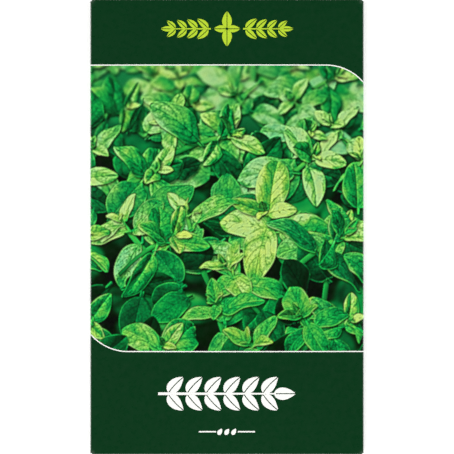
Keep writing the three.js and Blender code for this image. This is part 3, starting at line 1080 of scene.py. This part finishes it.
titleSprig = {
    "middle": -51.2, "length": 42.3, "pairs": 6,
    "leaf": 6.7, "breadth": 0.57, "spread": 0.98, "midrib": 0.3, "stalk": 0.85,
}
sprigHabit = {
    "ends": (0.48, 0.5),  # in leaf lengths, how far the pairs stay from both ends of the stalk
    "foot": 0.3,  # mm, from the stalk's middle to a leaf's foot
    "overlap": 0.6,  # how far the stalk runs on under the last leaf
    "curve": 0.35,
}
smallRule = {
    "middle": -62.9, "length": 17.3, "rule": 5.3, "line": 0.42,
    "seed": 2.2, "seedGap": 2.15, "seedBreadth": 0.62, "seedLean": 1.03,
    "lineSteps": 8, "seedSteps": 10,
}
topGarland = {
    "middle": 60.9, "length": 41.0, "pairs": 4,
    "leaf": 4.5, "breadth": 0.46, "midrib": 0.24, "stalk": 0.5,
    "rosette": 0.58,  # breadth of its leaves, their lengths in leaf lengths, and their feet in mm
    "rosetteLeaves": (0.85, 1.15, 0.85, 1.15),
    "rosetteFoot": 0.3,
    "tipLeaf": 0.8,  # in leaf lengths, as are where a stalk starts and where its first pair grows
    "start": 1.1,
    "firstPair": 1.3,
    "lastPair": 1.0,  # mm, from the tip leaf
    "overlap": 0.5,
    "foot": 0.2,
    "shrink": 0.07,  # what each pair loses of its length
    "spread": 0.85,
    "curve": 0.3,
}


# A sprig that lies along the packet's width: a stalk with pairs of leaves that slant towards its
# tip, and one last leaf.
def sprigShapes(sprig):
    left, y, leaf = -sprig["length"] / 2, sprig["middle"], sprig["leaf"]
    look = (sprig["breadth"], sprig["midrib"])
    end = sprig["length"] / 2 - leaf
    shapes = [stalkShape((left, y), (end + sprigHabit["overlap"], y), sprig["stalk"])]
    early, late = sprigHabit["ends"]
    for x in np.linspace(left + early * leaf, end - late * leaf, sprig["pairs"]):
        for side in (-1, 1):
            foot, curve = (x, y + side * sprigHabit["foot"]), -side * sprigHabit["curve"]
            shapes += leafShape(foot, side * sprig["spread"], leaf, *look, curve)
    return shapes + leafShape((end, y), 0.0, leaf, *look)


# Two short rules with three seeds between them.
def ruleShapes(rule):
    y, half, lean, seed = rule["middle"], rule["length"] / 2, rule["seedLean"], rule["seed"]
    shapes = []
    for side in (-1, 1):
        u = side * np.linspace(half - rule["rule"], half, rule["lineSteps"])
        shapes.append(ribbon(u[::side], 0 * u + y, rule["line"]))
    toMiddle = np.array([np.cos(lean), np.sin(lean)]) * seed / 2
    for k in (-1, 0, 1):
        foot = np.array([k * rule["seedGap"], y]) - toMiddle
        shapes += leafShape(foot, lean, seed, rule["seedBreadth"], 0.0, steps=rule["seedSteps"])
    return shapes


# A garland that is the same on both sides: a rosette of four leaves, with a leafy stalk to either
# side of it.
def garlandShapes(garland):
    y, leaf, midrib = garland["middle"], garland["leaf"], garland["midrib"]
    look = (garland["breadth"], midrib)
    tip = garland["length"] / 2 - garland["tipLeaf"] * leaf
    shapes = []
    for quarter, length in enumerate(garland["rosetteLeaves"]):
        angle, foot = quarter * np.pi / 2, garland["rosetteFoot"]
        foot = (foot * np.cos(angle), y + foot * np.sin(angle))
        shapes += leafShape(foot, angle, length * leaf, garland["rosette"], midrib)
    pairs = np.linspace(garland["firstPair"] * leaf, tip - garland["lastPair"], garland["pairs"])
    for side, ahead in ((-1, np.pi), (1, 0.0)):
        start, end = side * garland["start"] * leaf, side * (tip + garland["overlap"])
        shapes.append(stalkShape((start, y), (end, y), garland["stalk"]))
        for k, x in enumerate(pairs):
            for upDown in (-1, 1):
                foot, turn = (side * x, y + garland["foot"] * upDown), side * upDown
                length = leaf * (1.0 - garland["shrink"] * k)
                angle, curve = ahead + garland["spread"] * turn, -garland["curve"] * turn
                shapes += leafShape(foot, angle, length, *look, curve)
        shapes += leafShape((side * tip, y), ahead, garland["tipLeaf"] * leaf, *look)
    return shapes


for name, shapes, ink in (
    ("title_sprig_print", sprigShapes(titleSprig), bareWhite),
    ("small_rule_print", ruleShapes(smallRule), bareWhite),
    ("top_garland_print", garlandShapes(topGarland), limeInk),
):
    printShapes(name, shapes, onFront, layout["ornamentLift"], ink)


backPrint = {
    "left": -33.0, "right": 33.0, "bottom": -50.0, "top": 44.0, "corner": 7.5,
    "panelSteps": (66, 80, 14),  # across, between the corners, and round each of them
    "signs": 22.0, "signGap": 20.0, "signLine": 0.7,  # height of the row of signs, gap and line
    "sun": (2.3, 8, 3.1, 4.7),  # radius, number of rays, and where a ray starts and ends
    "drop": (4.6, 8.6, 0.62),  # height of its point over the row's, length and breadth
    "bed": (4.8, 3.7),  # half its width, and its depth under the row's height
    "sprout": (0.6, 0.2),  # heights of its stalk's end and of its leaves' feet over the row's
    "sproutLeaf": (0.8, 4.8, 0.5, 0.3),  # lean, length, breadth and curve
    "cells": 12, "cellSize": (4.4, 3.5), "cellGap": 0.55, "calendarTop": 8.0,
    "sowing": (2, 3, 4, 5), "cutting": (5, 6, 7, 8, 9),
    "rule": 0.3, "ruleGap": 6.4, "rules": 6, "rulesTop": -9.5, "ruleHalf": 27.6,
    "lifts": (0.004, 0.016),  # of the pale panel and of what is printed on it
}
headSprig = {
    "middle": 34.5, "length": 30.0, "pairs": 6,
    "leaf": 4.2, "breadth": 0.5, "spread": 0.9, "midrib": 0.22, "stalk": 0.6,
}


# A rectangle of artwork as a grid with steps of about 1 mm, so that it follows the paper's curve.
def boxShape(left, bottom, right, top):
    sides = ((left, right), (bottom, top))
    steps = (np.linspace(low, high, int(np.ceil(high - low)) + 1) for low, high in sides)
    return np.stack(np.meshgrid(*steps), -1)


# The pale panel: rows from bottom to top, each drawn in at its end near a rounded corner by a
# circle's formula.
def palePanel():
    radius = backPrint["corner"]
    low, high = backPrint["bottom"] + radius, backPrint["top"] - radius
    columns, rows, cornerRows = backPrint["panelSteps"]
    v = np.concatenate([
        np.linspace(low - radius, low, cornerRows)[:-1],
        np.linspace(low, high, rows)[:-1],
        np.linspace(high, high + radius, cornerRows),
    ])
    past = np.clip([low - v, v - high], 0, None)
    inLeft, inRight = roundOff(past, radius)[..., None]
    share = np.linspace(0, 1, columns)
    u = mixed(backPrint["left"] + inLeft, backPrint["right"] - inRight, share)
    return np.stack([u, v[:, None] + 0 * u], -1)


# A disc: circles whose radius falls evenly to nothing at its middle.
def discShape(x, y, radius, steps=32, rings=4):
    angle = np.linspace(0, 2 * np.pi, steps + 1)[None, :]
    reach = np.linspace(radius, 0, rings)[:, None]
    return np.stack([x + reach * np.cos(angle), y + reach * np.sin(angle)], -1)


# Boxes for some months of one row of the calendar, each one width and one gap on from the last.
def calendarShapes(months, row):
    width, height = backPrint["cellSize"]
    gap = backPrint["cellGap"]
    left = -(backPrint["cells"] * (width + gap) - gap) / 2
    top = backPrint["calendarTop"] - row * (height + gap)
    starts = (left + month * (width + gap) for month in months)
    return [boxShape(start, top - height, start + width, top) for start in starts]


# Plain signs without words: a sun, a drop and a sprout in its bed.
def signShapes():
    y, x, line = backPrint["signs"], backPrint["signGap"], backPrint["signLine"]
    radius, rays, start, end = backPrint["sun"]
    shapes = [discShape(-x, y, radius)]
    for angle in np.arange(rays) * 2 * np.pi / rays:
        way = np.array([np.cos(angle), np.sin(angle)])
        shapes.append(stalkShape(way * start + (-x, y), way * end + (-x, y), line))
    point, length, breadth = backPrint["drop"]
    shapes += leafShape((0.0, y + point), -np.pi / 2, length, breadth, 0.0)
    half, depth = backPrint["bed"]
    shapes.append(boxShape(x - half, y - depth - line, x + half, y - depth))
    stalkEnd, foot = backPrint["sprout"]
    lean, length, breadth, curve = backPrint["sproutLeaf"]
    shapes.append(stalkShape((x, y - depth), (x, y + stalkEnd), line))
    for side in (-1, 1):
        angle = np.pi / 2 - side * lean
        shapes += leafShape((x, y + foot), angle, length, breadth, 0.0, side * -curve)
    return shapes


print("print on the back")
quietCells = []
for row, months in enumerate((backPrint["sowing"], backPrint["cutting"])):
    quietCells += calendarShapes([k for k in range(backPrint["cells"]) if k not in months], row)
ruleHalf = backPrint["ruleHalf"]
noteRules = [
    boxShape(-ruleHalf, y, ruleHalf, y + backPrint["rule"])
    for y in backPrint["rulesTop"] - backPrint["ruleGap"] * np.arange(backPrint["rules"])
]
panelLift, onPanel = backPrint["lifts"]
for name, shapes, lift, ink in (
    ("back_panel_print", [palePanel()], panelLift, paleInk),
    ("back_head_sprig_print", sprigShapes(headSprig), onPanel, leafInk),
    ("back_signs_print", signShapes(), onPanel, leafInk),
    ("back_quiet_months_print", quietCells, onPanel, tintInk),
    ("back_sowing_months_print", calendarShapes(backPrint["sowing"], 0), onPanel, leafInk),
    ("back_cutting_months_print", calendarShapes(backPrint["cutting"], 1), onPanel, limeInk),
    ("back_note_rules_print", noteRules, onPanel, leafInk),
):
    printShapes(name, shapes, onBack, lift, ink)


# How far the front web stands off the back one: nothing along the seal, and a low dome inside it,
# the product of two fourth-power curves, with small puckers where the dome meets the seal.
def sachetRoom(x, y):
    reachX, reachY = (half - sachet["seal"] for half in sachet["half"])
    u = np.clip(np.abs(x) / reachX, 0, 1)
    v = np.clip(np.abs(y - sachet["middleY"]) / reachY, 0, 1)
    dome = (1 - u ** 4) * (1 - v ** 4)
    height, wavesX, wavesY = sachet["pucker"]
    waves = height * np.cos(x * wavesX) * np.cos(y * wavesY)
    fade = np.exp(-dome * sachet["puckerFade"])
    return sachet["rise"] * dome + waves * fade * np.clip(dome * sachet["puckerFrom"], 0, 1)


# The sealing jaws' pattern on the rim: two crossed waves.
def knurl(x, y):
    height, pitch, fadeIn = sachet["knurl"]
    onSeal = np.clip((pastSachet(x, y) + sachet["seal"]) / fadeIn, 0, 1)
    wave = 2 * np.pi / pitch / np.sqrt(2)
    return height * np.cos(wave * (x + y)) * np.cos(wave * (x - y)) * onSeal


# Places of a web's grid lines across one of its sides: close ones on the seal, for its pattern.
def webLines(half, middle):
    rim = np.linspace(0, sachet["seal"], sachet["sealSteps"] + 1)
    reach = half - sachet["seal"]
    inside = np.linspace(-reach, reach, int(round(2 * reach / sachet["cell"])))
    return middle + np.concatenate([-half + rim[:-1], inside, half - rim[::-1][1:]])


# One web of the sachet: the back panel's height, and on it the seal's pattern and the web's own
# raise. White heat-seal laminate is paper outside and a thin plastic inside, so it is smooth and
# slightly waxy, with a soft sheen and a stronger cloud than the packet's paper.
def sachetWeb(name, raised, replaces):
    halfX, halfY = sachet["half"]
    x, y = np.meshgrid(webLines(halfX, 0.0), webLines(halfY, sachet["middleY"]))
    base = backMiddle(x, y) + paper / 2 + sachet["rest"] + sachet["web"] / 2
    grid = np.stack([x, y, base + knurl(x, y) + raised(x, y)], -1)
    points, triangles = thickened(*weldedSheet([(grid, False)])[:2], sachet["web"])
    makePiece(name, points, triangles, [laminate], replaces=replaces)


seeds = {
    "seed": 7,
    "bedHalf": (16.0, 22.0),  # mm
    "pitch": 0.92,
    "rowPitch": 0.866,  # of the lattice, as a share of its pitch
    "latticeHalf": 40,  # steps of it to every side
    "shift": 0.2,  # mm, spread of a seed's place on it, and of its height
    "heights": 0.05,
    "size": (0.95, 0.74, 0.64),  # length, breadth and depth of a nutlet
    "sizes": (0.86, 1.06),  # smallest and largest share of it
    "tilt": 0.25,
    # middle above the web, and share of the bed that it covers
    "layers": ((0.34, 0.97), (0.74, 0.78), (1.08, 0.5)),
    "rings": 4,
    "sides": 6,
    "dark": "3A2417", "light": "9A6A3C",
    "toneLean": 1.6,  # power that makes dark seeds the more common
    "roughness": 0.72,
    "cloud": (0.25, 0.8, 1.15, 3.0),  # as in paperLook
    "pits": (0.08, 0.006),
    "sharpFrom": 3.2,
}


# Ripe herb seed: matt, warm brown nutlets, some nearly black and some tan, each with a fine
# pitted skin.
def seedSkin():
    look = {"Roughness": seeds["roughness"]}
    material, surface, place = startMaterial("ripe_brown_nutlet_skin", look)
    tone = addNode(material, "ShaderNodeAttribute", {"attribute_name": "tone"})
    brown = addNode(
        material, "ShaderNodeMix",
        {"data_type": "RGBA", 6: opaque(seeds["dark"]), 7: opaque(seeds["light"])},
        {"Factor": tone.outputs["Fac"]},
    )
    clouded = cloudedColour(material, place, brown.outputs[2], seeds["cloud"])
    connect(material, surface, {"Base Color": clouded})
    addRelief(material, surface, place, *seeds["pits"])
    return material


# One nutlet of radius 1: rings of points round an axis from pole to pole. Gives its points and
# its triangles.
def nutletShape():
    sides, rings = seeds["sides"], seeds["rings"]
    ring = np.pi * (np.arange(rings) + 1) / (rings + 1)
    spoke = 2 * np.pi * np.arange(sides) / sides
    girth = np.sin(ring)[:, None]
    body = np.stack([
        np.cos(ring)[:, None] + 0 * spoke, girth * np.cos(spoke), girth * np.sin(spoke)
    ], -1).reshape(-1, 3)
    shape = np.concatenate([[[1.0, 0, 0]], body, [[-1.0, 0, 0]]])
    last = len(shape) - 1
    k = np.arange(sides)
    after = (k + 1) % sides
    faces = [np.stack([0 * k, 1 + k, 1 + after], 1)]
    for level in range(rings - 1):
        near, far = 1 + level * sides, 1 + (level + 1) * sides
        faces.append(np.stack([near + k, far + k, far + after], 1))
        faces.append(np.stack([near + k, far + after, near + after], 1))
    faces.append(np.stack([last + 0 * k, last - sides + after, last - sides + k], 1))
    return shape, np.concatenate(faces)


# Where the seeds lie: a triangular lattice with a random shift, in layers that shrink towards the
# top.
def seedPlaces(draw):
    floor = paper + 2 * sachet["rest"] + sachet["web"]
    pitch, halfX, halfY = seeds["pitch"], *seeds["bedHalf"]
    step = np.arange(-seeds["latticeHalf"], seeds["latticeHalf"] + 1)
    places = []
    for height, reach in seeds["layers"]:
        x, y = np.meshgrid(step * pitch, step * pitch * seeds["rowPitch"])
        x = x + (np.arange(len(step)) % 2 * pitch / 2)[:, None]
        x, y = (side + draw.normal(0, seeds["shift"], side.shape) for side in (x, y))
        inside = np.hypot(x / halfX, y / halfY) < reach
        z = floor + height + draw.uniform(0, seeds["heights"], x.shape)
        places.append(np.stack([x[inside], y[inside] + sachet["middleY"], z[inside]], 1))
    return np.concatenate(places)


# The seeds: ellipsoids of a few faces, each with its own size, turn and place.
def seedPile():
    draw = np.random.default_rng(seeds["seed"])
    shape, faces = nutletShape()
    places = seedPlaces(draw)
    count = len(places)
    size = np.array(seeds["size"]) / 2 * draw.uniform(*seeds["sizes"], (count, 1))
    turn = draw.uniform(0, 2 * np.pi, (count, 1))
    tilt = draw.uniform(-seeds["tilt"], seeds["tilt"], (count, 1))
    x, y, z = np.moveaxis(shape[None] * size[:, None], -1, 0)
    x, z = rotated(x, z, tilt)
    x, y = rotated(x, y, turn)
    points = (places[:, None] + np.stack([x, y, z], -1)).reshape(-1, 3)
    triangles = (faces[None] + (np.arange(count) * len(shape))[:, None, None]).reshape(-1, 3)
    piece = makePiece(
        "seeds", points, triangles, [seedSkin()],
        replaces="oregano_seed", sharpFrom=seeds["sharpFrom"],
    )
    keepAttribute(piece, "tone", np.repeat(draw.random(count) ** seeds["toneLean"], len(shape)))


print("sachet and seeds")
laminate = flatInk(
    "white_heat_seal_laminate", sachet["colour"], sachet["roughness"],
    sachet["cloud"], sachet["fibre"],
)
sachetWeb("sachet_back_film", lambda x, y: 0 * x, "sachet_back_web")
sachetWeb("sachet_front_film", lambda x, y: sachet["web"] + sachetRoom(x, y), "sachet_front_web")
seedPile()


studio = {
    "floor": "F8F8F6",
    "floorRoughness": 0.8,
    "floorCloud": (60.0, 0.985, 1.0, 2.0),  # as in paperLook
    "floorHalf": 4.0,  # m
    "floorLevel": -0.03,  # mm, clear of the ink on the packet's back
    "floorGlow": 0.32,  # light that comes through the table, as a share of full white
    "horizon": 0.55,  # brightness of the surroundings at the horizon and overhead
    "overhead": 0.0,
    "horizonFrom": 0.05,  # heights on the sky between which the one turns to the other
    "horizonTo": 0.75,
    "lens": 200.0,
    "sensor": 36.0,
    "frameFill": 1.0025,  # the packet's height as a share of the frame's
    # turn round the packet and height above it in degrees, distance, width and height in metres,
    # and watts
    "softboxes": (
        (-102, 33, 1.5, 1.0, 0.7, 17.5),
        (-8, 33, 1.5, 1.0, 0.7, 11.0),
        (98, 33, 1.5, 1.0, 0.7, 17.0),
    ),
}


# A pale table of milky acrylic, lit a little from below: smooth, with the faintest cloud in its
# colour.
def studioFloor():
    look = {
        "Roughness": studio["floorRoughness"],
        "Emission Color": (1, 1, 1, 1),
        "Emission Strength": studio["floorGlow"],
    }
    material, surface, place = startMaterial("milky_acrylic_table", look)
    clouded = cloudedColour(material, place, linearOf(studio["floor"]), studio["floorCloud"])
    connect(material, surface, {"Base Color": clouded})
    half, z = studio["floorHalf"], studio["floorLevel"] * mm
    mesh = bpy.data.meshes.new("floor")
    corners = [(-half, -half, z), (half, -half, z), (half, half, z), (-half, half, z)]
    mesh.from_pydata(corners, [], [(0, 1, 2, 3)])
    mesh.materials.append(material)
    addObject("floor", mesh)


# The surroundings: pale at the horizon and dark overhead, so that the flat front mirrors no light
# into a view from above and its dark print keeps its depth.
def surroundings():
    world = bpy.data.worlds.new("studio")
    world.use_nodes = True
    bpy.context.scene.world = world
    way = addNode(world, "ShaderNodeTexCoord").outputs["Generated"]
    height = addNode(world, "ShaderNodeSeparateXYZ", links={0: way}).outputs["Z"]
    glow = addNode(
        world, "ShaderNodeMapRange",
        {
            "interpolation_type": "SMOOTHSTEP",
            "From Min": studio["horizonFrom"], "From Max": studio["horizonTo"],
            "To Min": studio["horizon"], "To Max": studio["overhead"],
        },
        {"Value": height},
    ).outputs["Result"]
    backdrop = world.node_tree.nodes["Background"]
    backdrop.inputs["Color"].default_value = (1, 1, 1, 1)
    connect(world, backdrop, {"Strength": glow})


# A softbox aimed at the packet, from its turn, height and distance.
def softbox(name, turn, height, distance, width, tall, watts):
    lamp = bpy.data.lights.new(name, "AREA")
    lamp.shape = "RECTANGLE"
    lamp.size, lamp.size_y, lamp.energy = width, tall, watts
    a, e = np.radians(turn), np.radians(height)
    place = Vector((np.sin(a) * np.cos(e), -np.cos(a) * np.cos(e), np.sin(e))) * distance
    light = addObject(name, lamp)
    light.location = place
    light.rotation_euler = (-place).to_track_quat("-Z", "Y").to_euler()


# The camera looks straight down. Its distance is the packet's height times the lens over the
# sensor, less by a hair, so that the frame's edge cuts the two end folds.
def overheadCamera():
    data = bpy.data.cameras.new("camera")
    data.lens, data.sensor_width = studio["lens"], studio["sensor"]
    foldLevel = (paper / 2 + packet["edgeLift"] + packet["foldGap"] / 2) * mm
    frameHeight = 2 * halfHeight * mm / studio["frameFill"]
    camera = addObject("camera", data)
    camera.location = (0, 0, foldLevel + frameHeight * studio["lens"] / studio["sensor"])
    bpy.context.scene.camera = camera


print("studio")
studioFloor()
surroundings()
for number, box in enumerate(studio["softboxes"]):
    softbox(f"softbox_{number + 1}", *box)
overheadCamera()
bpy.context.scene.view_settings.view_transform = "Standard"
bpy.context.scene.view_settings.look = "None"
